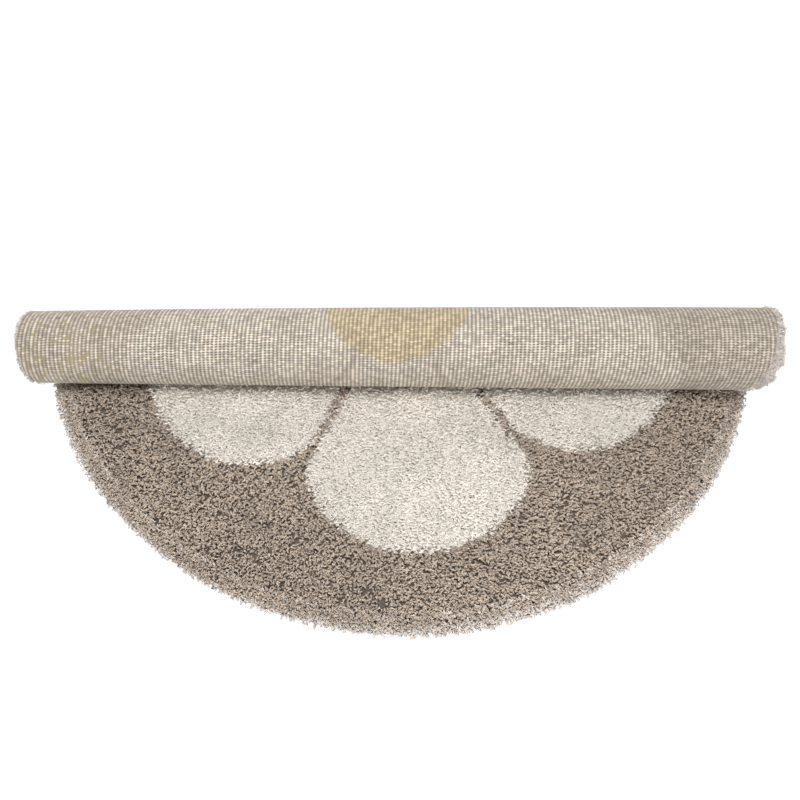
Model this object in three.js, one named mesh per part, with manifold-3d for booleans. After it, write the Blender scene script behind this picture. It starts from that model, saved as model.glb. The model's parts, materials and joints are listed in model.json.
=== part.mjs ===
// A round shag rug, half rolled up. The front lies flat with its pile up, and the back is rolled
// forward over it with the woven backing outside and the pile inside.
// Millimetres, +Z up, the front of the rug towards -Y.
import * as THREE from 'three';
import { mergeVertices } from 'three/addons/utils/BufferGeometryUtils.js';
import Module from 'manifold-3d';

// Driving dimensions of the flat rug, with x across it and s from its front to its back
const RADIUS = 600; // to the outside of the pile at the rim
const BACKING_RADIUS = 588; // to the edge of the woven backing
const CROWN_RADIUS = 576; // where the pile starts to round down to the rim
const LYING_HEIGHT = 21; // backing and pile where the rug lies free
const ROLLED_HEIGHT = 14.5; // backing and pile pressed together in the roll
const BULGE_SHARE = 0.45; // height of the rim's widest line, as a share of the pile
const CROWN_SHARE = 0.86; // height of the pile's shoulder, as a share of the pile

// Driving dimensions of the roll
const CONTACT = -162.2; // s where the rug leaves the floor and turns up
const SKEW = -0.0096; // slant of that line across the rug
const ROLL_RADIUS = 74.3; // of the backing at the start of the roll
const TURN_PITCH = 18; // from one turn to the next
const CONE = 0.065; // the roll is thicker by this share at the right, and thinner at the left
const CONE_FADE = 0.031; // and it loses this share of its thickness towards both ends
const DRIFT = -17; // sideways creep of the rug in each turn
const PRESS_START = 48; // the pile sinks from here in front of the contact line
const PRESS_END = 6; // to here, where the roll lies on it

// Size of the mesh's steps
const COLUMNS = 38;
const ROWS_PER_TURN = 16;
const RIM_STEP = 40;
const ROW_STEP = 22;

// Lumps of the pile
const LUMP_HEIGHT = 4;
const LUMP_WAVE = 95;
const LUMP_WANDER = 70;
const ROLLED_LUMP_SHARE = 0.35; // of that height left in the roll

// Locks of yarn round the rim
const LOCK_COUNT = 180;
const LOCK_ROOT_RADIUS = 570;
const LOCK_REACH = [3, 10]; // shortest and longest, past the rim
const LOCK_SWAY = 9;
const LOCK_ROOT = { width: 17, floor: 0.12, top: 0.66 }; // heights as shares of the pile
const LOCK_TIP = { width: 6, floor: 0, top: 0.3 };

// The rug's own point that stands over the part's origin, at the middle of the part's outline
const ORIGIN_X = DRIFT / 3;
const ROLL_BACK = CONTACT + ROLL_RADIUS - TURN_PITCH / 4;
const ORIGIN_S = (ROLL_BACK - RADIUS - LOCK_REACH[1]) / 2;

const COLOUR = '#8d8074';

const mix = (a, b, t) => a + (b - a) * t;
const smooth = (t) => THREE.MathUtils.smoothstep(t, 0, 1);

// Share of the roll's middle thickness that it has at x
function rollSize(x) {
  const across = x / RADIUS;
  return 1 + CONE * across - CONE_FADE * across ** 2;
}

// Angle through which the rug has wound after a length of it, along a spiral that closes in
function woundAngle(length) {
  const closing = TURN_PITCH / (2 * Math.PI);
  return (ROLL_RADIUS - Math.sqrt(ROLL_RADIUS ** 2 - 2 * closing * length)) / closing;
}

function woundLength(angle) {
  return ROLL_RADIUS * angle - (TURN_PITCH * angle ** 2) / (4 * Math.PI);
}

// Place in space of a point of the flat rug that is h above the underside of the backing
function lay(x, s, h) {
  const contact = CONTACT + SKEW * x;
  if (s <= contact) return new THREE.Vector3(x - ORIGIN_X, s - ORIGIN_S, h);
  const size = rollSize(x);
  const angle = woundAngle((s - contact) / size);
  const turns = angle / (2 * Math.PI);
  const radius = size * (ROLL_RADIUS - TURN_PITCH * turns) - h;
  return new THREE.Vector3(
    x + DRIFT * turns - ORIGIN_X,
    contact + radius * Math.sin(angle) - ORIGIN_S,
    size * ROLL_RADIUS - radius * Math.cos(angle),
  );
}

// Share of the free height that the pile keeps: all of it in front, less under and in the roll
function freeShare(x, s) {
  const ahead = CONTACT + SKEW * x - s;
  return smooth((ahead - PRESS_END) / (PRESS_START - PRESS_END));
}

function pileHeight(x, s) {
  return mix(ROLLED_HEIGHT, LYING_HEIGHT, freeShare(x, s));
}

// Three waves that cross at 60 degrees and wander, so that the pile stands in round lumps
function lump(x, s) {
  let wave = 0;
  for (const turn of [0, Math.PI / 3, (2 * Math.PI) / 3]) {
    const along = x * Math.cos(turn) + s * Math.sin(turn);
    const across = s * Math.cos(turn) - x * Math.sin(turn);
    wave += Math.cos((2 * Math.PI * along) / LUMP_WAVE + Math.sin(across / LUMP_WANDER)) / 3;
  }
  return LUMP_HEIGHT * wave * mix(ROLLED_LUMP_SHARE, 1, freeShare(x, s));
}

// The rows run across the rug, from its front point to its back one. Each is the straight line
// s = start + slope * x.
function makeRows() {
  const rows = [{ start: -BACKING_RADIUS, slope: 0 }];
  let angle = RIM_STEP / BACKING_RADIUS;
  const contactAngle = Math.acos(-CONTACT / BACKING_RADIUS);
  while (angle < contactAngle - ROW_STEP / (2 * BACKING_RADIUS)) {
    const start = -BACKING_RADIUS * Math.cos(angle);
    rows.push({ start, slope: (SKEW * (start + BACKING_RADIUS)) / (CONTACT + BACKING_RADIUS) });
    angle += Math.min(RIM_STEP, ROW_STEP / Math.sin(angle)) / BACKING_RADIUS;
  }
  const step = (2 * Math.PI) / ROWS_PER_TURN;
  const rolled = Math.floor(woundAngle(BACKING_RADIUS - CONTACT) / step);
  for (let i = 0; i < rolled; i += 1) {
    const length = woundLength(i * step);
    rows.push({ start: CONTACT + length, slope: SKEW + (CONE * length) / RADIUS });
  }
  rows.push({ start: BACKING_RADIUS, slope: 0 });
  return rows;
}

// Where a row crosses the edge of the backing, at its left (side -1) or its right (side 1)
function rowEnd({ start, slope }, side) {
  const square = 1 + slope ** 2;
  const root = Math.sqrt(Math.max(0, square * BACKING_RADIUS ** 2 - start ** 2));
  const x = (side * root - start * slope) / square;
  return new THREE.Vector2(x, start + slope * x);
}

// Closed section of the rug along one row: up the left rim, over the pile, down the right rim
function rowSection(row) {
  const rim = (side, radius, share) => {
    const end = rowEnd(row, side).multiplyScalar(radius / BACKING_RADIUS);
    return lay(end.x, end.y, share * pileHeight(end.x, end.y));
  };
  const left = rowEnd(row, -1).multiplyScalar(CROWN_RADIUS / BACKING_RADIUS);
  const right = rowEnd(row, 1).multiplyScalar(CROWN_RADIUS / BACKING_RADIUS);
  const points = [rim(-1, BACKING_RADIUS, 0), rim(-1, RADIUS, BULGE_SHARE)];
  for (let i = 0; i <= COLUMNS; i += 1) {
    const at = left.clone().lerp(right, i / COLUMNS);
    const shoulder = i === 0 || i === COLUMNS ? CROWN_SHARE : 1;
    points.push(lay(at.x, at.y, shoulder * pileHeight(at.x, at.y) + lump(at.x, at.y)));
  }
  points.push(rim(1, RADIUS, BULGE_SHARE), rim(1, BACKING_RADIUS, 0));
  return points;
}

// Skin over a run of like sections. The end sections either have shrunk to an edge or are capped.
function loft(sections, capped) {
  const count = sections[0].length;
  const last = (sections.length - 1) * count;
  const triangles = [];
  for (let j = 0; j + 1 < sections.length; j += 1) {
    for (let k = 0; k < count; k += 1) {
      const next = (k + 1) % count;
      const [a, b] = [j * count + k, j * count + next];
      triangles.push(a, b, b + count, a, b + count, a + count);
    }
  }
  for (let k = 1; capped && k + 1 < count; k += 1) {
    triangles.push(0, k + 1, k);
    triangles.push(last, last + k, last + k + 1);
  }
  const geometry = new THREE.BufferGeometry().setFromPoints(sections.flat());
  geometry.setIndex(triangles);
  return mergeVertices(geometry);
}

// One lock of yarn: a three-sided taper from inside the rim to a tip past it
function lockSections(index) {
  const angle = ((index + 0.5) * 2 * Math.PI) / LOCK_COUNT;
  const wave = 0.5 + 0.5 * Math.sin(index * 2.4 + Math.sin(index * 0.7));
  const reach = RADIUS + mix(LOCK_REACH[0], LOCK_REACH[1], wave);
  const sway = LOCK_SWAY * Math.sin(index * 1.7 + 0.4);
  const out = new THREE.Vector2(Math.sin(angle), -Math.cos(angle));
  const along = new THREE.Vector2(Math.cos(angle), Math.sin(angle));
  const section = (radius, shift, { width, floor, top }) => {
    const corners = [[-width / 2, floor], [0, top], [width / 2, floor]];
    return corners.map(([offset, share]) => {
      const at = out.clone().multiplyScalar(radius).addScaledVector(along, shift + offset);
      return lay(at.x, at.y, share * pileHeight(at.x, at.y));
    });
  };
  return [section(reach, sway, LOCK_TIP), section(LOCK_ROOT_RADIUS, 0, LOCK_ROOT)];
}

const wasm = await Module();
wasm.setup();

// Triangles that lost a corner where a section has shrunk are left out
function toSolid(geometry) {
  const vertProperties = geometry.getAttribute('position').array;
  const corners = [];
  for (let t = 0; t < geometry.index.count; t += 3) {
    const triangle = [0, 1, 2].map((k) => geometry.index.getX(t + k));
    if (new Set(triangle).size === 3) corners.push(...triangle);
  }
  const triVerts = new Uint32Array(corners);
  return new wasm.Manifold(new wasm.Mesh({ numProp: 3, vertProperties, triVerts }));
}

function toGeometry(solid) {
  const { vertProperties, triVerts } = solid.getMesh();
  const geometry = new THREE.BufferGeometry();
  geometry.setAttribute('position', new THREE.BufferAttribute(vertProperties, 3));
  geometry.setIndex(new THREE.BufferAttribute(triVerts, 1));
  geometry.computeVertexNormals();
  return geometry;
}

function makeRug() {
  let solid = toSolid(loft(makeRows().map(rowSection), false));
  for (let i = 0; i < LOCK_COUNT; i += 1) solid = solid.add(toSolid(loft(lockSections(i), true)));
  const material = new THREE.MeshStandardMaterial({ color: COLOUR, roughness: 0.95, metalness: 0 });
  const rug = new THREE.Mesh(toGeometry(solid), material);
  rug.name = 'rug';
  return rug;
}

const part = new THREE.Group();
part.add(makeRug());

export default part;
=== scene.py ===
import json
import math

import bpy
import numpy as np
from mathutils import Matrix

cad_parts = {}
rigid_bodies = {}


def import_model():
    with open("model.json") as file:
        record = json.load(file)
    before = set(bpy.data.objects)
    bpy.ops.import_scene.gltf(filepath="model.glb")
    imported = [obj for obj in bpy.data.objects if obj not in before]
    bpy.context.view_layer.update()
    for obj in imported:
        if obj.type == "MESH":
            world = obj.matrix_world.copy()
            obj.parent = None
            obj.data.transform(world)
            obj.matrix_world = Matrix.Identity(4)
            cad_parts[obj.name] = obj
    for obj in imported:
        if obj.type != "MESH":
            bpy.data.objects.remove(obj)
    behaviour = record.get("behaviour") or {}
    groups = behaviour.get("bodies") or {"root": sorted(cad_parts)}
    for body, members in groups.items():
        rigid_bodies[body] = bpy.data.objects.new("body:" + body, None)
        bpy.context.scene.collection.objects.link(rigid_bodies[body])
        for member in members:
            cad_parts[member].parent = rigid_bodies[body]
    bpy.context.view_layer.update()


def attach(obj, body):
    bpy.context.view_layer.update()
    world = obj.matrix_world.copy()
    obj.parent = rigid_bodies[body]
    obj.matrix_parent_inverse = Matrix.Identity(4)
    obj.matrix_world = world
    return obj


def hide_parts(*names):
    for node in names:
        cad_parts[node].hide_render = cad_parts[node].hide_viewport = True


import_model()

# Woven backing
# The backing is one round cloth of ribbed weave that carries the whole pile. The front half lies on
# the floor and the back half is wound into the roll, where the ribs show on the outside.

TAU = 2 * math.pi
RADIUS = 0.600
BACKING_RADIUS = 0.588
BACKING_THICKNESS = 0.0026
CONTACT = -0.1622
SKEW = -0.0096
ROLL_RADIUS = 0.0743
TURN_PITCH = 0.018
CONE = 0.065
CONE_FADE = 0.031
DRIFT = -0.017
LOCK_REACH = 0.010
ORIGIN_X = DRIFT / 3
ROLL_BACK = CONTACT + ROLL_RADIUS - TURN_PITCH / 4
ORIGIN_S = (ROLL_BACK - RADIUS - LOCK_REACH) / 2
RIB_PITCH = 0.00629
RIB_DEPTH = 0.0009
KNOT_PITCH = 0.00405
COLUMNS_PER_RIB = 3
RIB_PHASE = 0.5 / COLUMNS_PER_RIB
BROAD_COLUMNS = 25
SEEN_ANGLE = math.radians(400)
SEEN_STEP = math.radians(6)
HIDDEN_STEP = math.radians(15)
RIM_STEP = 0.030
FLAT_STEP = 0.060
EDGE_TURNS = np.radians((90, 180, 360, 400))
EDGE_DRAWN_IN = (0.0, 0.005, 0.005, 0.0)


def roll_size(x):
    """Share of the roll's middle thickness that it has at x: thicker to the right, less so at the ends."""
    across = x / RADIUS
    return 1 + CONE * across - CONE_FADE * across ** 2


def wound_angle(length):
    """Angle through which the rug has wound after a length of it, along a spiral that closes in."""
    closing = TURN_PITCH / TAU
    return (ROLL_RADIUS - np.sqrt(ROLL_RADIUS ** 2 - 2 * closing * length)) / closing


def wound_length(angle):
    return ROLL_RADIUS * angle - TURN_PITCH * angle ** 2 / (2 * TAU)


def lay(x, s, h):
    """Places of points of the flat rug, h above the underside of its backing."""
    contact = CONTACT + SKEW * x
    size = roll_size(x)
    angle = wound_angle(np.maximum(s - contact, 0) / size)
    turns = angle / TAU
    radius = size * (ROLL_RADIUS - TURN_PITCH * turns) - h
    y = np.where(s > contact, contact + radius * np.sin(angle), s)
    z = np.where(s > contact, size * ROLL_RADIUS - radius * np.cos(angle), h)
    return np.stack([x + DRIFT * turns - ORIGIN_X, y - ORIGIN_S, z], axis=-1)


def flat_rows(rim_step, row_step):
    """Rows across the flat front, each the line s = start + slope * x."""
    rows = [(-BACKING_RADIUS, 0.0)]
    turn = rim_step / BACKING_RADIUS
    while -BACKING_RADIUS * math.cos(turn) < CONTACT - row_step / 4:
        start = -BACKING_RADIUS * math.cos(turn)
        rows.append((start, SKEW * (start + BACKING_RADIUS) / (CONTACT + BACKING_RADIUS)))
        turn += min(rim_step, row_step / math.sin(turn)) / BACKING_RADIUS
    return rows


def rolled_rows(angles):
    """Rows across the roll, one at each angle of its winding."""
    lengths = wound_length(np.asarray(angles))
    return [(CONTACT + length, SKEW + CONE * length / RADIUS) for length in lengths]


def row_ends(start, slope, radius):
    """Left and right x where a row crosses a circle round the rug's middle."""
    square = 1 + slope ** 2
    root = math.sqrt(max(0.0, square * radius ** 2 - start ** 2))
    return (-root - start * slope) / square, (root - start * slope) / square


def rug_grid(rows, columns, radius, end_reach):
    """x and s on a grid of rows and columns, and the index of each place's own vertex. A column that
    lies past the end of its row falls together with that end."""
    x = np.empty((len(rows), len(columns)))
    s = np.empty_like(x)
    index = np.empty(x.shape, int)
    for j, (start, slope) in enumerate(rows):
        left, right = row_ends(start, slope, radius)
        left, right = left - end_reach(start, -1), right + end_reach(start, 1)
        first = max(np.searchsorted(columns, left, "right") - 1, 0)
        last = min(np.searchsorted(columns, right, "left"), len(columns) - 1)
        x[j] = np.clip(columns, left, right)
        s[j] = start + slope * x[j]
        same = first if right - left < RIM_STEP / 100 else last
        index[j] = j * len(columns) + np.clip(np.arange(len(columns)), first, same)
    return x, s, index


def grid_faces(index, upward):
    """Triangles over a grid, without those that lost a corner at the end of a row."""
    a, b, c, d = index[:-1, :-1], index[:-1, 1:], index[1:, 1:], index[1:, :-1]
    faces = np.concatenate([np.stack(t, -1).reshape(-1, 3) for t in ((a, b, c), (a, c, d))])
    whole = (faces[:, 0] != faces[:, 1]) & (faces[:, 1] != faces[:, 2]) & (faces[:, 2] != faces[:, 0])
    return faces[whole] if upward else faces[whole][:, ::-1]


def edge_faces(under, over):
    """Triangles of the narrow edge that joins an under grid to an over grid along both ends."""
    strips = []
    for side, turned in ((0, False), (-1, True)):
        a, b = under[:-1, side], under[1:, side]
        c, d = over[1:, side], over[:-1, side]
        faces = np.concatenate([np.stack((a, c, b), -1), np.stack((a, d, c), -1)])
        strips.append(faces[:, ::-1] if turned else faces)
    return np.concatenate(strips)


def rug_slab(name, rows, under_columns, over_columns, radius, under_height, over_height, end_reach):
    """A closed slab of the rug between two heights above the backing's underside. Its attribute place
    holds the point of the flat rug, and petal and centre hold the yarn there."""
    parts = []
    for columns, height in ((under_columns, under_height), (over_columns, over_height)):
        x, s, index = rug_grid(rows, columns, radius, end_reach)
        parts.append((x.ravel(), s.ravel(), height(x, s).ravel(), index))
    count = parts[0][0].size
    under, over = parts[0][3], parts[1][3] + count
    faces = np.concatenate([grid_faces(under, False), grid_faces(over, True), edge_faces(under, over)])
    x, s, h = (np.concatenate([parts[0][k], parts[1][k]]) for k in range(3))
    used, faces = np.unique(faces, return_inverse=True)
    mesh = bpy.data.meshes.new(name)
    mesh.from_pydata(lay(x, s, h)[used], [], faces.reshape(-1, 3))
    mesh.shade_smooth()
    place = mesh.attributes.new("place", "FLOAT_VECTOR", "POINT")
    place.data.foreach_set("vector", np.stack([x, s, h], -1)[used].ravel())
    for yarn, mask in zip(("petal", "centre"), flower(x[used], s[used])):
        mesh.attributes.new(yarn, "FLOAT", "POINT").data.foreach_set("value", mask.astype(float))
    return bpy.data.objects.new(name, mesh)


# The flower of the pile shows through on the backing: six petals round a centre, with a narrow strip
# of the ground between neighbours. Each row is one petal: its turn in degrees from the front towards
# the right, how far from the flower's middle its rounded end starts, and the turn of the strip after it.
PETALS = (
    (4.4, 0.334, 31.6),
    (64.0, 0.330, 93.5),
    (123.0, 0.340, 153.0),
    (183.0, 0.326, 210.5),
    (238.0, 0.312, 271.0),
    (304.0, 0.311, 336.0),
)
PETAL_HALF_WIDTH = 0.172
PETAL_END = 0.148
PETAL_GAP = 0.013
CENTRE_RADIUS = 0.113


def flower(x, s):
    """Where the rug's yarn is a petal's, and where it is the centre's."""
    centre = np.hypot(x, s) < CENTRE_RADIUS
    petal = np.zeros(np.shape(x), bool)
    before = math.radians(PETALS[-1][2])
    for turn_deg, middle, after_deg in PETALS:
        turn, after = math.radians(turn_deg), math.radians(after_deg)
        along = x * math.sin(turn) - s * math.cos(turn)
        across = x * math.cos(turn) + s * math.sin(turn)
        rounded = np.hypot(np.maximum(along - middle, 0) / PETAL_END, across / PETAL_HALF_WIDTH) < 1
        past_first = x * math.cos(before) + s * math.sin(before) > PETAL_GAP / 2
        short_of_last = x * math.cos(after) + s * math.sin(after) < -PETAL_GAP / 2
        petal |= rounded & past_first & short_of_last
        before = after
    return petal & ~centre, centre


def ribs(x, s):
    """Height of the backing's outside: round ribs that run along s."""
    return RIB_DEPTH * (0.5 - 0.5 * np.cos(TAU * (x / RIB_PITCH + RIB_PHASE)))


def level(height):
    return lambda x, s: np.full(np.shape(x), height)


def drawn_in(start, side):
    """The backing's edge lies a little further in at the right end of the roll."""
    wound = wound_angle(max(start - CONTACT, 0))
    return -np.interp(wound, EDGE_TURNS, EDGE_DRAWN_IN) if side > 0 else 0.0


rib_count = math.ceil(2 * BACKING_RADIUS / RIB_PITCH)
rib_columns = (np.arange(rib_count * COLUMNS_PER_RIB + 1) / COLUMNS_PER_RIB - rib_count / 2) * RIB_PITCH
broad_columns = np.linspace(-RADIUS, RADIUS, BROAD_COLUMNS)
inner_angle = float(wound_angle(BACKING_RADIUS - CONTACT))
backing_angles = np.concatenate([
    np.arange(0, SEEN_ANGLE, SEEN_STEP),
    np.arange(SEEN_ANGLE, inner_angle - HIDDEN_STEP / 4, HIDDEN_STEP),
])
backing_rows = flat_rows(RIM_STEP, FLAT_STEP) + rolled_rows(backing_angles) + [(BACKING_RADIUS, 0.0)]
backing = rug_slab("woven_backing", backing_rows, rib_columns, broad_columns, BACKING_RADIUS,
                   ribs, level(BACKING_THICKNESS), drawn_in)
bpy.context.scene.collection.objects.link(backing)


class Nodes:
    """Short words for adding nodes to one tree and joining them."""

    def __init__(self, tree):
        self.tree = tree

    def add(self, kind, inputs=(), **settings):
        """A new node, whose inputs are given in order or by name."""
        node = self.tree.nodes.new(kind)
        for key, value in settings.items():
            setattr(node, key, value)
        sockets = [socket for socket in node.inputs if socket.enabled]
        if isinstance(inputs, dict):
            by_name = {socket.name: socket for socket in sockets}
            pairs = [(by_name[name], value) for name, value in inputs.items()]
        else:
            pairs = zip(sockets, inputs)
        for socket, value in pairs:
            self.feed(socket, value)
        return node

    def feed(self, socket, value):
        if isinstance(value, bpy.types.Node):
            value = next(out for out in value.outputs if out.enabled)
        if isinstance(value, bpy.types.NodeSocket):
            self.tree.links.new(value, socket)
        else:
            socket.default_value = value

    def math(self, operation, *inputs):
        return self.add("ShaderNodeMath", inputs, operation=operation)

    def mix(self, factor, first, second):
        return self.add("ShaderNodeMix", (factor, first, second), data_type="RGBA")

    def tint(self, colour, *tones):
        """A colour made lighter or darker by each of some tones."""
        for tone in tones:
            grey = self.add("ShaderNodeCombineColor", (tone, tone, tone))
            colour = self.add("ShaderNodeMix", (1.0, colour, grey), data_type="RGBA", blend_type="MULTIPLY")
        return colour

    def attribute(self, name, output):
        return self.add("ShaderNodeAttribute", attribute_name=name).outputs[output]

    def ramp(self, value, low, high, to_low=0.0, to_high=1.0):
        ends = (value, low, high, to_low, to_high)
        return self.add("ShaderNodeMapRange", ends, interpolation_type="SMOOTHSTEP")

    def noise(self, place, size, detail):
        """Soft noise with blotches of a size in metres."""
        return self.add("ShaderNodeTexNoise", {"Vector": place, "Scale": 1 / size, "Detail": detail})

    def relief(self, height, depth, strength):
        return self.add("ShaderNodeBump", {"Height": height, "Distance": depth, "Strength": strength})


def cloth_material(name, sheen):
    """A new dull material with its Principled shader, and the words for its nodes."""
    material = bpy.data.materials.new(name)
    material.use_nodes = True
    shader = material.node_tree.nodes["Principled BSDF"]
    shader.inputs["Roughness"].default_value = 0.95
    shader.inputs["Specular IOR Level"].default_value = 0.15
    shader.inputs["Sheen Weight"].default_value = sheen
    shader.inputs["Sheen Roughness"].default_value = 0.6
    return material, shader, Nodes(material.node_tree)


GROUND_RIB = (0.50, 0.435, 0.36, 1)
GROUND_LINE = (0.62, 0.55, 0.465, 1)
PETAL_RIB = (0.645, 0.58, 0.49, 1)
CENTRE_RIB = (0.585, 0.495, 0.365, 1)
# Painted shade: the darker colours of the hollows between the ribs, and the near-black colours of the pits
# between the beads.
GROUND_HOLLOW_SHADE = (0.46, 0.40, 0.33, 1)
PETAL_HOLLOW_SHADE = (0.57, 0.50, 0.42, 1)
CENTRE_HOLLOW_SHADE = (0.43, 0.345, 0.225, 1)
GROUND_PIT_SHADE = (0.125, 0.105, 0.082, 1)
PETAL_PIT_SHADE = (0.10, 0.083, 0.066, 1)
CENTRE_PIT_SHADE = (0.25, 0.19, 0.09, 1)
KNOT_SHIFT = 0.4
PIT_SHADE_EDGE = (0.25, 0.75)
KNOT_TONES = (0.80, 1.20)
CREST_EDGE = (0.3, 0.9)
# Painted shade and highlight on the ribs' beads, from between them to their tops.
BEAD_LIGHT_TONES = (0.9, 1.05)
LINE_FADE = (-0.2, 0.3)
LINE_LEAST = 0.3
STRAY_YARN = (0.47, 0.395, 0.17, 1)
STRAY_FROM = -0.60
STRAY_TO = -0.42
STRAY_SOFT = 0.05
STRAY_SHARE = 0.2
STRAY_PATCH = 0.03
STRAY_EDGE = (0.38, 0.60)
STRAY_STRENGTH = 0.65
FLECK_SHARE = 0.9985
FLECK_SOFT = 0.0005
FLECK_SHADE = 0.45
DULL_AT = 0.4
DULL_TONE = 0.95
NOISE_SPAN = (0.3, 0.7)
CLOTH_BLOTCH = 0.06
CLOTH_TONES = (0.94, 1.05)
LINT_SIZE = 0.0011
LINT_SHARE = 0.35
BEAD_DEPTH = 0.0006


def backing_material():
    """Light ribs, with painted shade in the hollows between them and near-black painted shade in the pits
    between their beads, and a painted highlight on the beads' tops. The ribs are a little duller to the
    right.
    At the left every second rib is lighter, and a few knots have a stray yarn."""
    material, shader, n = cloth_material("ribbed_weave", 0.15)
    place = n.attribute("place", "Vector")
    x, s, _ = n.add("ShaderNodeSeparateXYZ", (place,)).outputs
    rib = n.math("ADD", n.math("DIVIDE", x, RIB_PITCH), RIB_PHASE)
    rib_number = n.math("ROUND", rib)
    rib_chance = n.add("ShaderNodeTexWhiteNoise", {"W": rib_number}, noise_dimensions="1D").outputs["Value"]
    knot = n.math("MULTIPLY_ADD", rib_chance, KNOT_SHIFT, n.math("DIVIDE", s, KNOT_PITCH))
    cell = n.add("ShaderNodeCombineXYZ", (rib_number, n.math("ROUND", knot), 0.0))
    chance = n.add("ShaderNodeTexWhiteNoise", (cell,), noise_dimensions="2D").outputs["Value"]
    crest = n.math("MULTIPLY_ADD", n.math("COSINE", n.math("MULTIPLY", rib, TAU)), 0.5, 0.5)
    swell = n.math("MULTIPLY_ADD", n.math("COSINE", n.math("MULTIPLY", knot, TAU)), 0.5, 0.5)
    petal = n.attribute("petal", "Fac")
    centre = n.attribute("centre", "Fac")
    line = n.math("MULTIPLY", n.math("PINGPONG", rib_number, 1.0), n.ramp(x, *LINE_FADE, 1.0, LINE_LEAST))
    high = n.mix(centre, n.mix(petal, n.mix(line, GROUND_RIB, GROUND_LINE), PETAL_RIB), CENTRE_RIB)
    # Painted shade in the weave's hollows: darker yarn in the hollows between the ribs, near black in the
    # pits between the beads.
    low = n.mix(centre, n.mix(petal, GROUND_HOLLOW_SHADE, PETAL_HOLLOW_SHADE), CENTRE_HOLLOW_SHADE)
    pit_shade = n.mix(centre, n.mix(petal, GROUND_PIT_SHADE, PETAL_PIT_SHADE), CENTRE_PIT_SHADE)
    shaded_hollow = n.mix(n.ramp(swell, *PIT_SHADE_EDGE), pit_shade, low)
    # Painted shade and highlight along each rib: darker between the beads and lighter on their tops.
    lit_ridge = n.tint(high, n.ramp(swell, 0.0, 1.0, *BEAD_LIGHT_TONES))
    colour = n.mix(n.ramp(crest, *CREST_EDGE), shaded_hollow, lit_ridge)
    near = n.math("MULTIPLY", n.ramp(x, STRAY_FROM, STRAY_FROM + STRAY_SOFT),
                  n.ramp(x, STRAY_TO - STRAY_SOFT, STRAY_TO, 1.0, 0.0))
    patch = n.ramp(n.noise(place, STRAY_PATCH, 2.0), *STRAY_EDGE, 0.0, STRAY_STRENGTH)
    stray = n.math("MULTIPLY", n.math("LESS_THAN", chance, STRAY_SHARE), n.math("MULTIPLY", near, patch))
    colour = n.mix(stray, colour, STRAY_YARN)
    uneven = n.ramp(n.noise(place, CLOTH_BLOTCH, 3.0), *NOISE_SPAN, *CLOTH_TONES)
    duller = n.ramp(x, 0.0, DULL_AT, 1.0, DULL_TONE)
    each_knot = n.ramp(chance, 0.0, 1.0, *KNOT_TONES)
    fleck = n.ramp(chance, FLECK_SHARE, FLECK_SHARE + FLECK_SOFT, 1.0, FLECK_SHADE)
    n.feed(shader.inputs["Base Color"], n.tint(colour, uneven, duller, each_knot, fleck))
    lint = n.math("MULTIPLY", n.noise(place, LINT_SIZE, 3.0), LINT_SHARE)
    bead = n.math("MULTIPLY", crest, swell)
    n.feed(shader.inputs["Normal"], n.relief(n.math("ADD", bead, lint), BEAD_DEPTH, 0.7))
    return material


backing.data.materials.append(backing_material())
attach(backing, "root")
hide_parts("rug")

# Pile bed
# Under the tips of the pile the yarns stand so close that they close up. The bed is that felt of lower
# yarn, from the backing to over half the pile's height, pressed flatter where the rug is rolled.

LYING_HEIGHT = 0.021
ROLLED_HEIGHT = 0.0145
PRESS_START = 0.048
PRESS_END = 0.006
LUMP_HEIGHT = 0.004
LUMP_WAVE = 0.095
LUMP_WANDER = 0.070
ROLLED_LUMP_SHARE = 0.35
BED_RADIUS = 0.587
BED_SHARE = 0.64
BED_RISE = 0.1
PETAL_BED_SHARE = 0.25
BED_RIM = 0.022
BED_RIM_SHARE = 0.3
END_SHARE = 0.8
END_TURNS = np.radians((25, 195, 240, 360, 400))
END_REACH = {-1: (0.0, 0.0, 0.002, 0.002, 0.0), 1: (0.0, 0.004, 0.012, 0.012, 0.0)}
END_WAVES = (0.0045, 0.00765)
END_WAVE_SHARE = 0.2
HEAP_HEIGHT = 0.011
HEAP_RISE = 0.3
HEAP_RIM = 0.06
HEAP_FROM = (0.018, 0.045)
HEAP_TO = (0.050, 0.105)
BED_STEP = 0.014


def smooth(t):
    t = np.clip(t, 0, 1)
    return t * t * (3 - 2 * t)


def free_share(x, s):
    """Share of the free height that the pile keeps: all of it in front, less under and in the roll."""
    ahead = CONTACT + SKEW * x - s
    return smooth((ahead - PRESS_END) / (PRESS_START - PRESS_END))


def pile_height(x, s):
    """Height of the pile's tips above the backing's underside: lumpy, and heaped in front of the roll."""
    free = free_share(x, s)
    lump = 0
    for turn in np.radians((0, 60, 120)):
        along = x * math.cos(turn) + s * math.sin(turn)
        across = s * math.cos(turn) - x * math.sin(turn)
        lump = lump + np.cos(TAU * along / LUMP_WAVE + np.sin(across / LUMP_WANDER)) / 3
    share = ROLLED_LUMP_SHARE + (1 - ROLLED_LUMP_SHARE) * free
    ahead = CONTACT + SKEW * x - s
    heap = smooth((ahead - HEAP_FROM[0]) / (HEAP_FROM[1] - HEAP_FROM[0]))
    heap = heap * (1 - smooth((ahead - HEAP_TO[0]) / (HEAP_TO[1] - HEAP_TO[0])))
    heap = heap * (1 + HEAP_RISE * x / RADIUS) * smooth((RADIUS - np.hypot(x, s)) / HEAP_RIM)
    level_height = ROLLED_HEIGHT + (LYING_HEIGHT - ROLLED_HEIGHT) * free
    return level_height + LUMP_HEIGHT * share * lump + HEAP_HEIGHT * heap


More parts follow.
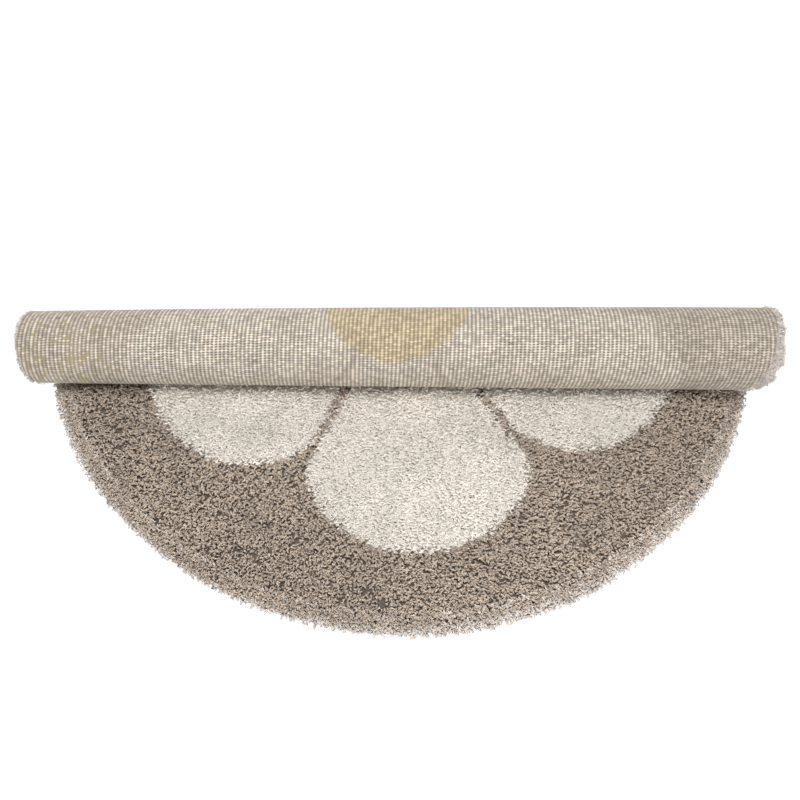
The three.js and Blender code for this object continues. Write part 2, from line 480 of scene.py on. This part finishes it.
def bed_height(x, s):
    """Height of the bed, denser in the petals and to the right, which rounds down towards the rim."""
    inward = smooth((BED_RADIUS - np.hypot(x, s)) / BED_RIM)
    share = BED_SHARE + np.where(flower(x, s)[0], PETAL_BED_SHARE, BED_RISE * smooth(x / RADIUS))
    rim_share = np.where((s > CONTACT) & (x > 0), END_SHARE, BED_RIM_SHARE)
    return share * pile_height(x, s) * (rim_share + (1 - rim_share) * inward)


def end_reach(s, side):
    """How far the pile swells past the backing's edge at one end of the roll."""
    reach = np.interp(wound_angle(np.maximum(s - CONTACT, 0)), END_TURNS, END_REACH[side])
    return reach * (1 + END_WAVE_SHARE * sum(np.sin(s / wave) for wave in END_WAVES))


bed_columns = np.arange(-RADIUS, RADIUS + BED_STEP, BED_STEP)
bed_rows = flat_rows(RIM_STEP, BED_STEP) + rolled_rows(np.arange(0, inner_angle, HIDDEN_STEP))
bed_rows = [row for row in bed_rows if abs(row[0]) < BED_RADIUS]
bed_rows = [(-BED_RADIUS, 0.0)] + bed_rows + [(BED_RADIUS, 0.0)]
bed = rug_slab("pile_bed", bed_rows, broad_columns, bed_columns, BED_RADIUS,
               level(BACKING_THICKNESS), bed_height, end_reach)
bpy.context.scene.collection.objects.link(bed)

GROUND_YARN = (0.546, 0.450, 0.364, 1)
PETAL_YARN = (0.868, 0.808, 0.728, 1)
CENTRE_YARN = (0.58, 0.40, 0.11, 1)
SWELL_YARN = (0.91, 0.84, 0.78, 1)
# Painted shade: the bed's yarn colour is darkened to these shares in the ground, in the petals and along
# the flat rim.
GROUND_BED_SHADE = 0.34
PETAL_BED = 0.95
BED_EDGE_SHADE = 0.7
CURL_SIZE = 0.0025
CURL_SPAN = (0.35, 0.65)
# Painted shade and uneven tone: the curls' colour runs from dark where their relief is low to light where
# it is high.
CURL_SHADE_TONES = (0.6, 1.1)
CURL_DEPTH = 0.003


def bed_material():
    """The yarns' own colours darkened with painted shade for the shade under their tips, less deeply along
    the flat rim, and pale where the bed swells out at the roll.
    """
    material, shader, n = cloth_material("lower_pile", 0.1)
    place = n.attribute("place", "Vector")
    petal = n.attribute("petal", "Fac")
    yarn = n.mix(n.attribute("centre", "Fac"), n.mix(petal, GROUND_YARN, PETAL_YARN), CENTRE_YARN)
    curls = n.noise(place, CURL_SIZE, 3.0)
    # Painted shade in the curls' low spots, together with uneven tone.
    curl_shade_and_mottle = n.ramp(curls, *CURL_SPAN, *CURL_SHADE_TONES)
    out = n.add("ShaderNodeVectorMath", (place,), operation="LENGTH").outputs["Value"]
    along = n.add("ShaderNodeSeparateXYZ", (place,)).outputs["Y"]
    edge = n.mix(n.ramp(along, CONTACT, CONTACT + BED_STEP), n.tint(GROUND_YARN, BED_EDGE_SHADE), SWELL_YARN)
    # Painted shade: the bed's yarn is darkened, deeply in the ground and hardly at all in the petals.
    shaded_lower = n.tint(yarn, curl_shade_and_mottle, n.ramp(petal, 0.0, 1.0, GROUND_BED_SHADE, PETAL_BED))
    n.feed(shader.inputs["Base Color"], n.mix(n.ramp(out, BED_RADIUS - BED_RIM, BED_RADIUS), shaded_lower, edge))
    n.feed(shader.inputs["Normal"], n.relief(curls, CURL_DEPTH, 1.0))
    return material


bed.data.materials.append(bed_material())
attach(bed, "root")
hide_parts("rug")

# Pile
# Each tuft is a short length of crimped yarn, woven in at its root, that rises and curls over at its
# tip. The ground and each petal are planted with tufts of their own yarn, combed a little forward, and
# those of the petals fall to either side.

TUFT_KINDS = 8
TUFT_SIDES = 3
TUFT_STEPS = 2
TUFT_HEIGHT = 0.010
TUFT_BEND = 2.3
TUFT_REACH = (0.0035, 0.0060)
TUFT_FALL = 1.5
TUFT_SWING = 0.0014
TUFT_SWING_ANGLES = (2.0, 4.0)
TUFT_UNEVENNESS = 0.22
TUFT_SWAY = 0.4
CLUMP_SIZE = 0.022
CLUMP_SWAY = 1.4
YARN_RADIUS = 0.00082
YARN_ENDS = 0.85
YARN_BELLY = 0.3
YARN_FLATNESS = 1.9
BLUNT_TIP = 0.6
tuft_kinds = bpy.data.collections.new("tuft_kinds")


def make_tuft(kind, draw):
    """One lock of yarn. It rises from its root, swings a little aside and falls forward at its tip."""
    t = np.linspace(0, 1, TUFT_STEPS + 1)
    swing = TUFT_SWING * np.sin(draw.uniform(*TUFT_SWING_ANGLES) * t + draw.uniform(0, TAU))
    reach = draw.uniform(*TUFT_REACH) * t ** TUFT_FALL
    path = np.stack([swing - swing[0], -reach, TUFT_HEIGHT * np.sin(TUFT_BEND * t)], axis=-1)
    along = np.gradient(path, axis=0)
    over = np.cross(along, (1.0, 0.0, 0.0))
    over /= np.linalg.norm(over, axis=1)[:, None]
    side = np.cross(over, along)
    side /= np.linalg.norm(side, axis=1)[:, None]
    thickness = YARN_RADIUS * (YARN_ENDS + YARN_BELLY * np.sin(math.pi * t))
    thickness[-1] *= BLUNT_TIP
    ring = TAU * np.arange(TUFT_SIDES) / TUFT_SIDES
    spokes = np.cos(ring)[None, :, None] * over[:, None]
    spokes = spokes + YARN_FLATNESS * np.sin(ring)[None, :, None] * side[:, None]
    points = path[:, None] + thickness[:, None, None] * spokes
    corner = np.arange(points.shape[0] * TUFT_SIDES).reshape(-1, TUFT_SIDES)
    following = np.roll(corner, -1, axis=1)
    sides = np.stack([corner[:-1], following[:-1], following[1:], corner[1:]], axis=-1).reshape(-1, 4)
    faces = sides.tolist() + corner[:1, ::-1].tolist() + corner[-1:].tolist()
    mesh = bpy.data.meshes.new(f"tuft_{kind}")
    mesh.from_pydata(points.reshape(-1, 3), [], faces)
    mesh.shade_smooth()
    mesh.attributes.new("tip", "FLOAT", "POINT").data.foreach_set("value", np.repeat(t, TUFT_SIDES))
    tuft_kinds.objects.link(bpy.data.objects.new(mesh.name, mesh))


tuft_draw = np.random.default_rng(11)
for kind in range(TUFT_KINDS):
    make_tuft(kind, tuft_draw)


def planting_tree():
    """Plants tufts on root points. A root's attribute up says which way its tuft leans before it sways,
    and its attribute tall how high the tuft stands."""
    tree = bpy.data.node_groups.new("plant_tufts", "GeometryNodeTree")
    tree.is_modifier = True
    for name, kind in (("Roots", "Geometry"), ("Tuft Kinds", "Collection"), ("Width", "Float"),
                       ("Unevenness", "Float"), ("Sway", "Float"), ("Clump Size", "Float"),
                       ("Clump Sway", "Float"), ("Turn", "Float"), ("Spin", "Float"), ("Seed", "Int"),
                       ("Yarn", "Material")):
        tree.interface.new_socket(name, in_out="INPUT", socket_type=f"NodeSocket{kind}")
    tree.interface.new_socket("Pile", in_out="OUTPUT", socket_type="NodeSocketGeometry")
    n = Nodes(tree)
    given = n.add("NodeGroupInput").outputs

    def chance(kind, low, high, step):
        seed = n.math("ADD", given["Seed"], float(step))
        return n.add("FunctionNodeRandomValue", {"Min": low, "Max": high, "Seed": seed}, data_type=kind)

    def scaled(vector, amount):
        return n.add("ShaderNodeVectorMath", {"Vector": vector, "Scale": amount}, operation="SCALE")

    def named(name, kind):
        return n.add("GeometryNodeInputNamedAttribute", {"Name": name}, data_type=kind)

    shaded = n.add("GeometryNodeStoreNamedAttribute", {
        "Geometry": given["Roots"], "Name": "shade", "Value": chance("FLOAT", 0.0, 1.0, 1)},
        data_type="FLOAT", domain="POINT")
    clumps = n.math("DIVIDE", 1.0, given["Clump Size"])
    blotch = n.add("ShaderNodeTexNoise", {"Scale": clumps, "Detail": 1.0}).outputs["Color"]
    centred = n.add("ShaderNodeVectorMath", (blotch, (0.5, 0.5, 0.5)), operation="SUBTRACT")
    alone = scaled(chance("FLOAT_VECTOR", (-1, -1, -1), (1, 1, 1), 2), given["Sway"])
    swayed = n.add("ShaderNodeVectorMath", (alone, scaled(centred, given["Clump Sway"])), operation="ADD")
    leaning = n.add("ShaderNodeVectorMath", (named("up", "FLOAT_VECTOR"), swayed), operation="ADD")
    upright = n.add("FunctionNodeAlignRotationToVector", {"Vector": leaning}, axis="Z")
    side = n.math("SIGN", chance("FLOAT", -1.0, 1.0, 6))
    angle = n.math("MULTIPLY", chance("FLOAT", -1.0, 1.0, 3), given["Spin"])
    angle = n.math("MULTIPLY_ADD", side, given["Turn"], angle)
    spin = n.add("FunctionNodeAxisAngleToRotation", ((0, 0, 1), angle))
    turned = n.add("FunctionNodeRotateRotation", (upright, spin), rotation_space="LOCAL")
    spread = n.math("MULTIPLY", chance("FLOAT", -1.0, 1.0, 4), given["Unevenness"])
    stretch = n.math("DIVIDE", named("tall", "FLOAT"), TUFT_HEIGHT)
    height = n.math("MULTIPLY", stretch, n.math("ADD", spread, 1.0))
    width = n.math("MULTIPLY", given["Width"], n.math("MULTIPLY_ADD", spread, 0.6, 1.0))
    planted = n.add("GeometryNodeInstanceOnPoints", {
        "Points": shaded,
        "Instance": n.add("GeometryNodeCollectionInfo", (given["Tuft Kinds"], True, True)),
        "Pick Instance": True,
        "Instance Index": chance("INT", 0, TUFT_KINDS - 1, 5),
        "Rotation": turned,
        "Scale": n.add("ShaderNodeCombineXYZ", (width, width, height)),
    })
    realized = n.add("GeometryNodeRealizeInstances", (planted,))
    dressed = n.add("GeometryNodeSetMaterial", {"Geometry": realized, "Material": given["Yarn"]})
    n.add("NodeGroupOutput", {"Pile": dressed})
    return tree


plant_tufts = planting_tree()


def plant(name, slot, roots, up, tall, yarn, seed, width=1.0, sway=TUFT_SWAY, turn=0.0, spin=math.pi):
    """A piece of pile: one tuft at each root, as tall as given, about the direction up."""
    mesh = bpy.data.meshes.new(name + "_roots")
    mesh.from_pydata(roots, [], [])
    mesh.attributes.new("up", "FLOAT_VECTOR", "POINT").data.foreach_set("vector", up.ravel())
    mesh.attributes.new("tall", "FLOAT", "POINT").data.foreach_set("value", tall)
    planting = bpy.data.objects.new(name + "_roots", mesh)
    bpy.context.scene.collection.objects.link(planting)
    modifier = planting.modifiers.new("planting", "NODES")
    modifier.node_group = plant_tufts
    values = {"Tuft Kinds": tuft_kinds, "Width": width, "Unevenness": TUFT_UNEVENNESS, "Sway": sway,
              "Clump Size": CLUMP_SIZE, "Clump Sway": CLUMP_SWAY, "Turn": turn, "Spin": spin,
              "Seed": seed, "Yarn": yarn}
    for item in plant_tufts.interface.items_tree:
        if item.in_out == "INPUT" and item.name in values:
            modifier[item.identifier] = values[item.name]
    depsgraph = bpy.context.evaluated_depsgraph_get()
    grown = bpy.data.meshes.new_from_object(
        planting.evaluated_get(depsgraph), preserve_all_data_layers=True, depsgraph=depsgraph)
    bpy.data.objects.remove(planting)
    piece = bpy.data.objects.new(name, grown)
    bpy.context.scene.collection.objects.link(piece)
    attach(piece, "root")
    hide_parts("rug")
    return piece


SCATTER_SHARE = 0.3


def scatter(low, high, pitch, draw):
    """Roots in uneven staggered rows over a rectangle of the flat rug."""
    across, along = np.meshgrid(np.arange(low[0], high[0], pitch[0]), np.arange(low[1], high[1], pitch[1]))
    across[1::2] += pitch[0] / 2
    across = across + draw.uniform(-SCATTER_SHARE, SCATTER_SHARE, across.shape) * pitch[0]
    along = along + draw.uniform(-SCATTER_SHARE, SCATTER_SHARE, along.shape) * pitch[1]
    return across.ravel(), along.ravel()


def rise(x, s, root, tip):
    """Root places, unit directions to the tips and distances to them."""
    low = lay(x, s, root)
    way = lay(x, s, tip) - low
    tall = np.linalg.norm(way, axis=1)
    return low, way / tall[:, None], tall


# Painted shade runs over this stretch of each tuft, from its root towards its tip.
ROOT_SHADE_SPAN = (0.05, 0.5)
YARN_BLOTCH = 0.08
YARN_TONES = (0.93, 1.07)
FIBRE_SIZE = 0.0013
FIBRE_DEPTH = 0.0006


def yarn_group():
    """Colour and relief of crimped yarn: painted shade darkens each tuft towards its root, for the shade
    between the tufts, painted shade and highlight follow the fine fibre relief, and no two tufts are quite
    alike.
    """
    tree = bpy.data.node_groups.new("crimped_yarn", "ShaderNodeTree")
    tree.interface.new_socket("Yarn", in_out="INPUT", socket_type="NodeSocketColor")
    tree.interface.new_socket("Root Shade", in_out="INPUT", socket_type="NodeSocketFloat")
    tree.interface.new_socket("Difference", in_out="INPUT", socket_type="NodeSocketFloat")
    tree.interface.new_socket("Colour", in_out="OUTPUT", socket_type="NodeSocketColor")
    tree.interface.new_socket("Relief", in_out="OUTPUT", socket_type="NodeSocketVector")
    n = Nodes(tree)
    given = n.add("NodeGroupInput").outputs
    place = n.add("ShaderNodeTexCoord").outputs["Object"]
    # Painted shade: the yarn darkens towards each tuft's root, down to Root Shade, for the shade between
    # the tufts.
    depth = n.ramp(n.attribute("tip", "Fac"), *ROOT_SHADE_SPAN, given["Root Shade"], 1.0)
    least = n.math("SUBTRACT", 1.0, given["Difference"])
    most = n.math("ADD", 1.0, given["Difference"])
    each = n.ramp(n.attribute("shade", "Fac"), 0.0, 1.0, least, most)
    uneven = n.ramp(n.noise(place, YARN_BLOTCH, 3.0), *NOISE_SPAN, *YARN_TONES)
    fibres = n.noise(place, FIBRE_SIZE, 2.0)
    # Painted shade and highlight that follow the fibre relief, darker where it is low and lighter where it
    # is high, besides uneven tone.
    fibre_shade_and_tone = n.ramp(fibres, *NOISE_SPAN, least, most)
    ply = n.relief(fibres, FIBRE_DEPTH, 0.6)
    n.add("NodeGroupOutput", {"Colour": n.tint(given["Yarn"], depth, each, uneven, fibre_shade_and_tone), "Relief": ply})
    return tree


crimped_yarn = yarn_group()


def yarn_material(name, yarn, root_shade, difference):
    material, shader, n = cloth_material(name, 0.2)
    look = n.add("ShaderNodeGroup", node_tree=crimped_yarn)
    look.inputs["Yarn"].default_value = yarn
    look.inputs["Root Shade"].default_value = root_shade
    look.inputs["Difference"].default_value = difference
    n.feed(shader.inputs["Base Color"], look.outputs["Colour"])
    n.feed(shader.inputs["Normal"], look.outputs["Relief"])
    return material


taupe_yarn = yarn_material("taupe_yarn", GROUND_YARN, root_shade=0.45, difference=0.2)
cream_yarn = yarn_material("cream_yarn", PETAL_YARN, root_shade=0.95, difference=0.06)

TUFT_PITCH = (0.0031, 0.0026)
TUFT_RADIUS = 0.588
ROOT_SHARE = 0.5
COMBED = (0, -0.25, 0)
GROUND_SPREAD = math.radians(50)
GROUND_TURNS = np.radians((45, 75))
PETAL_SPREAD = math.radians(35)
PETAL_TURN = math.radians(90)
PETAL_WIDTH = 1.25
PARTINGS = 150
PARTINGS_TO_LEFT = 1.8
PARTING_HALF = 0.008
PARTING_WIDTH = 0.0037
PARTING_SLANT = 0.6
flat_x, flat_s = scatter((-RADIUS, -RADIUS), (RADIUS, CONTACT), TUFT_PITCH, np.random.default_rng(3))
inside = np.hypot(flat_x, flat_s) < TUFT_RADIUS
flat_x, flat_s = flat_x[inside], flat_s[inside]

# Here and there, most of all at the left, the ground's tufts part and their roots and the bed show, dark
# with painted shade.
part_draw = np.random.default_rng(13)
for _ in range(PARTINGS):
    part_x = RADIUS * (2 * part_draw.uniform() ** PARTINGS_TO_LEFT - 1)
    part_s = part_draw.uniform(-RADIUS, CONTACT)
    turn, half = part_draw.normal(0, PARTING_SLANT), part_draw.uniform(0.0, PARTING_HALF)
    along = (flat_x - part_x) * math.cos(turn) + (flat_s - part_s) * math.sin(turn)
    across = (flat_s - part_s) * math.cos(turn) - (flat_x - part_x) * math.sin(turn)
    clear = np.hypot(np.maximum(np.abs(along) - half, 0), across) > PARTING_WIDTH
    clear |= flower(flat_x, flat_s)[0]
    flat_x, flat_s = flat_x[clear], flat_s[clear]
in_petal = flower(flat_x, flat_s)[0]
flat_turn = np.degrees(np.arctan2(flat_x, -flat_s))
in_front = in_petal & (flat_turn > PETALS[-1][2] - 360) & (flat_turn < PETALS[0][2])


def plant_flat(name, slot, chosen, yarn, seed, width, turn, spread):
    """The tufts of one patch of the flat front, combed forward."""
    x, s = flat_x[chosen], flat_s[chosen]
    tips = pile_height(x, s)
    roots, up, tall = rise(x, s, ROOT_SHARE * tips, tips)
    plant(name, slot, roots, up + COMBED, tall, yarn, seed, width=width, turn=turn, spin=spread)


for name, chosen, seed, turn in (
    ("pile_ground_left", ~in_petal & (flat_x < 0), 21, GROUND_TURNS[0]),
    ("pile_ground_right", ~in_petal & (flat_x >= 0), 22, GROUND_TURNS[1]),
):
    plant_flat(name, "pile", chosen, taupe_yarn, seed, 1.0, turn, GROUND_SPREAD)
for name, chosen, seed in (
    ("pile_front_petal", in_front, 23),
    ("pile_left_petal", in_petal & ~in_front & (flat_x < 0), 24),
    ("pile_right_petal", in_petal & ~in_front & (flat_x >= 0), 25),
):
    plant_flat(name, "petals", chosen, cream_yarn, seed, PETAL_WIDTH, PETAL_TURN, PETAL_SPREAD)

# Pile at the rim
# Round the edge the tufts have no neighbour outside them, so they lean out over the backing's edge and
# hide it, on the floor and at both ends of the roll. Loose fibre ends stand out from them as fuzz.

RIM_YARN = (0.70, 0.63, 0.57, 1)
FUZZ_YARN = (0.80, 0.74, 0.69, 1)
RIM_PITCH = 0.0018
RIM_WIDTH = 1.3
RIM_RINGS = (0.574, 0.580, 0.586, 0.591, 0.595)
RIM_ROOTS = (0.50, 0.42, 0.34, 0.24, 0.14)
RIM_TALL = 0.41
RIM_OUT = 0.55
RIM_SLANT = 0.2
RIM_SHIFT = 0.004
RIM_WAVES = 3
RIM_SCATTER_SHARE = 0.4
RIM_ROLLED_OUT = 0.3
RIM_ROLLED_TALL = 0.5
RIM_LAST = math.radians(380)
FUZZ_PITCH = 0.0015
FUZZ_RINGS = (0.590, 0.593, 0.596)
FUZZ_ROOTS = (0.4, 0.25, 0.1)
FUZZ_TALL = 0.26
FUZZ_WIDTH = 0.4
FUZZ_SWAY = 0.6
STEP_OUT = 1.01


def ways(x, s, h):
    """Places in the rug, and unit directions there up through the pile and out past the rim."""
    roots, up, _ = rise(x, s, h, h + ROLLED_HEIGHT)
    past = lay(x * STEP_OUT, s * STEP_OUT, h) - roots
    return roots, up, past / np.linalg.norm(past, axis=1)[:, None]


def rim_roots(rings, shares, pitch, tall, draw):
    """Roots in rings round the rim, the ways their tufts lean, and their heights. The rim is a little out
    of round: it lies further in at the front left and at the right of the roll's foot."""
    parts = []
    for radius, share in zip(rings, shares):
        count = int(TAU * radius / pitch)
        apart = draw.uniform(-RIM_SCATTER_SHARE, RIM_SCATTER_SHARE, count)
        turn = (np.arange(count) + apart) * TAU / count
        shift = RIM_SHIFT * np.minimum(np.sin(RIM_WAVES * turn), 0)
        reach = radius + np.where(-radius * np.cos(turn) < CONTACT, shift, 0.0)
        parts.append((reach * np.sin(turn), -reach * np.cos(turn), np.full(count, share)))
    x, s, share = (np.concatenate(column) for column in zip(*parts))
    rolled = s > CONTACT
    on_show = (s < CONTACT + wound_length(RIM_LAST)) & ~(rolled & (np.hypot(x, s) > BACKING_RADIUS))
    x, s, share, rolled = x[on_show], s[on_show], share[on_show], rolled[on_show]
    tips = pile_height(x, s)
    roots, up, past = ways(x, s, share * tips)
    slanted = 1 + RIM_SLANT * np.sin(RIM_WAVES * np.arctan2(x, -s))
    lean = np.where(rolled, RIM_ROLLED_OUT, RIM_OUT * slanted)
    return roots, up + past * lean[:, None], tall * tips * np.where(rolled, RIM_ROLLED_TALL, slanted)


rim_yarn = yarn_material("rim_yarn", RIM_YARN, root_shade=0.7, difference=0.12)
fuzz_yarn = yarn_material("fuzz_yarn", FUZZ_YARN, root_shade=0.9, difference=0.08)
rim_tufts = rim_roots(RIM_RINGS, RIM_ROOTS, RIM_PITCH, RIM_TALL, np.random.default_rng(7))
rim = plant("pile_rim", "pile", *rim_tufts, rim_yarn, 31, width=RIM_WIDTH)
fuzz_ends = rim_roots(FUZZ_RINGS, FUZZ_ROOTS, FUZZ_PITCH, FUZZ_TALL, np.random.default_rng(8))
fuzz = plant("rim_fuzz", "pile", *fuzz_ends, fuzz_yarn, 32, width=FUZZ_WIDTH, sway=FUZZ_SWAY)

# Swell at the roll's ends
# Where the roll ends, its pressed pile swells out past the backing's edge in fine pale fibre ends, far
# more so at the right than at the left.

SWELL_PITCH = 0.0018
SWELL_INSIDE = {-1: 0.001, 1: 0.006}
SWELL_TALL = 0.0055
SWELL_WIDTH = 0.6
SWELL_DOWN = 0.35
SWELL_FACE_SHARES = np.array((0.3, 0.5, 0.7))
swell_yarn = yarn_material("swell_yarn", SWELL_YARN, root_shade=0.95, difference=0.06)
first_s, last_s = CONTACT + wound_length(END_TURNS[[0, -1]])
face = SWELL_FACE_SHARES * ROLLED_HEIGHT
swell_rows = []
for side in (-1, 1):
    steps = np.arange(first_s, last_s, SWELL_PITCH)
    for s, reach in zip(steps, end_reach(steps, side)):
        brink = np.arange(-SWELL_INSIDE[side], reach, SWELL_PITCH)
        outs = math.sqrt(BED_RADIUS ** 2 - s ** 2) + np.append(brink, np.full(face.size, reach))
        heights = np.append(np.full(brink.size, BACKING_THICKNESS), face)
        down = np.append(np.full(brink.size, SWELL_DOWN), np.zeros(face.size))
        swell_rows.append((side * outs, np.full(outs.size, s), heights, down))
swell_x, swell_s, swell_h, swell_down = (np.concatenate(column) for column in zip(*swell_rows))
swell_draw = np.random.default_rng(9)
swell_x, swell_s = (
    at + swell_draw.uniform(-RIM_SCATTER_SHARE, RIM_SCATTER_SHARE, at.size) * SWELL_PITCH
    for at in (swell_x, swell_s)
)
roots, up, past = ways(swell_x, swell_s, swell_h)
swell = plant("pile_roll_ends", "pile", roots, past - up * swell_down[:, None],
              np.full(swell_x.size, SWELL_TALL), swell_yarn, 33, width=SWELL_WIDTH)

# Pile in the roll's ends
# At both ends of the roll each turn is a little shorter than the one round it, so the pile on the inside
# of the turns shows as a funnel.

END_PITCH = (0.0075, 0.0075)
END_DEPTH = 0.15
END_OVERLAP = 0.012
END_WIDTH = 1.9
end_x, end_s = scatter((-RADIUS, CONTACT), (RADIUS, RADIUS), END_PITCH, np.random.default_rng(5))
inside = np.hypot(end_x, end_s) < TUFT_RADIUS
end_x, end_s = end_x[inside], end_s[inside]
next_angle = np.minimum(wound_angle(np.maximum(end_s - CONTACT, 0)) + TAU, inner_angle)
next_s = CONTACT + wound_length(next_angle)
next_end = np.sqrt(np.maximum(0, BACKING_RADIUS ** 2 - next_s ** 2))
own_end = np.sqrt(np.maximum(0, BACKING_RADIUS ** 2 - end_s ** 2))
on_show = (np.abs(end_x) > next_end - END_OVERLAP) & (np.abs(end_x) > own_end - END_DEPTH)
end_x, end_s = end_x[on_show], end_s[on_show]
end_petal = flower(end_x, end_s)[0]
for name, slot, chosen, yarn, seed in (
    ("pile_roll_ground", "pile", ~end_petal, taupe_yarn, 41),
    ("pile_roll_petals", "petals", end_petal, cream_yarn, 42),
):
    x, s = end_x[chosen], end_s[chosen]
    tips = pile_height(x, s)
    plant(name, slot, *rise(x, s, ROOT_SHARE * tips, tips), yarn, seed, width=END_WIDTH)

for kind in list(tuft_kinds.objects):
    bpy.data.objects.remove(kind)
bpy.data.collections.remove(tuft_kinds)

# Floor, light and camera
# A plain white floor that hardly takes a shadow. A broad soft light hangs over the rug, smaller ones
# stand behind it and low in front, and the surround is even.

FLOOR_HALF = 6.0
FLOOR_LEVEL = -0.0005
corners = [(FLOOR_HALF * x, FLOOR_HALF * y, FLOOR_LEVEL) for x, y in ((-1, -1), (1, -1), (1, 1), (-1, 1))]
floor_mesh = bpy.data.meshes.new("floor")
floor_mesh.from_pydata(corners, [], [(0, 1, 2, 3)])
floor = bpy.data.objects.new("floor", floor_mesh)
bpy.context.scene.collection.objects.link(floor)
floor_paint = bpy.data.materials.new("white_floor")
floor_paint.use_nodes = True
floor_shader = floor_paint.node_tree.nodes["Principled BSDF"].inputs
floor_shader["Base Color"].default_value = (0.12, 0.12, 0.12, 1)
floor_shader["Emission Color"].default_value = (1, 1, 1, 1)
floor_shader["Emission Strength"].default_value = 0.97
floor_shader["Roughness"].default_value = 0.9
floor_mesh.materials.append(floor_paint)

world = bpy.data.worlds.new("surround")
bpy.context.scene.world = world
world.use_nodes = True
world.node_tree.nodes["Background"].inputs["Color"].default_value = (1, 1, 1, 1)
world.node_tree.nodes["Background"].inputs["Strength"].default_value = 0.45


def soft_light(name, place, target, size, power):
    lamp = bpy.data.lights.new(name, "AREA")
    lamp.shape = "DISK"
    lamp.size = size
    lamp.energy = power
    holder = bpy.data.objects.new(name, lamp)
    holder.location = place
    direction = np.array(target) - np.array(place)
    holder.rotation_euler = (math.atan2(math.hypot(direction[0], direction[1]), -direction[2]), 0,
                             math.atan2(-direction[0], direction[1]))
    bpy.context.scene.collection.objects.link(holder)


soft_light("key", place=(0.0, -0.05, 3.0), target=(0, 0, 0), size=1.6, power=57)
soft_light("back", place=(0.0, 2.4, 2.0), target=(0, 0.1, 0.1), size=1.2, power=20)
soft_light("fill", place=(0.5, -2.6, 0.7), target=(0, 0, 0.05), size=1.2, power=29)

CAMERA_ACROSS = -0.0031
CAMERA_BACK = 0.9402
CAMERA_HEIGHT = 1.1779
CAMERA_DOWN_DEG = 58.22
LENS = 37.99
lens = bpy.data.cameras.new("camera")
lens.lens = LENS
camera = bpy.data.objects.new("camera", lens)
camera.location = (CAMERA_ACROSS - ORIGIN_X, -CAMERA_BACK - ORIGIN_S, CAMERA_HEIGHT)
camera.rotation_euler = (math.radians(90 - CAMERA_DOWN_DEG), 0, 0)
bpy.context.scene.collection.objects.link(camera)
bpy.context.scene.camera = camera
bpy.context.scene.view_settings.view_transform = "Standard"

bpy.context.view_layer.update()
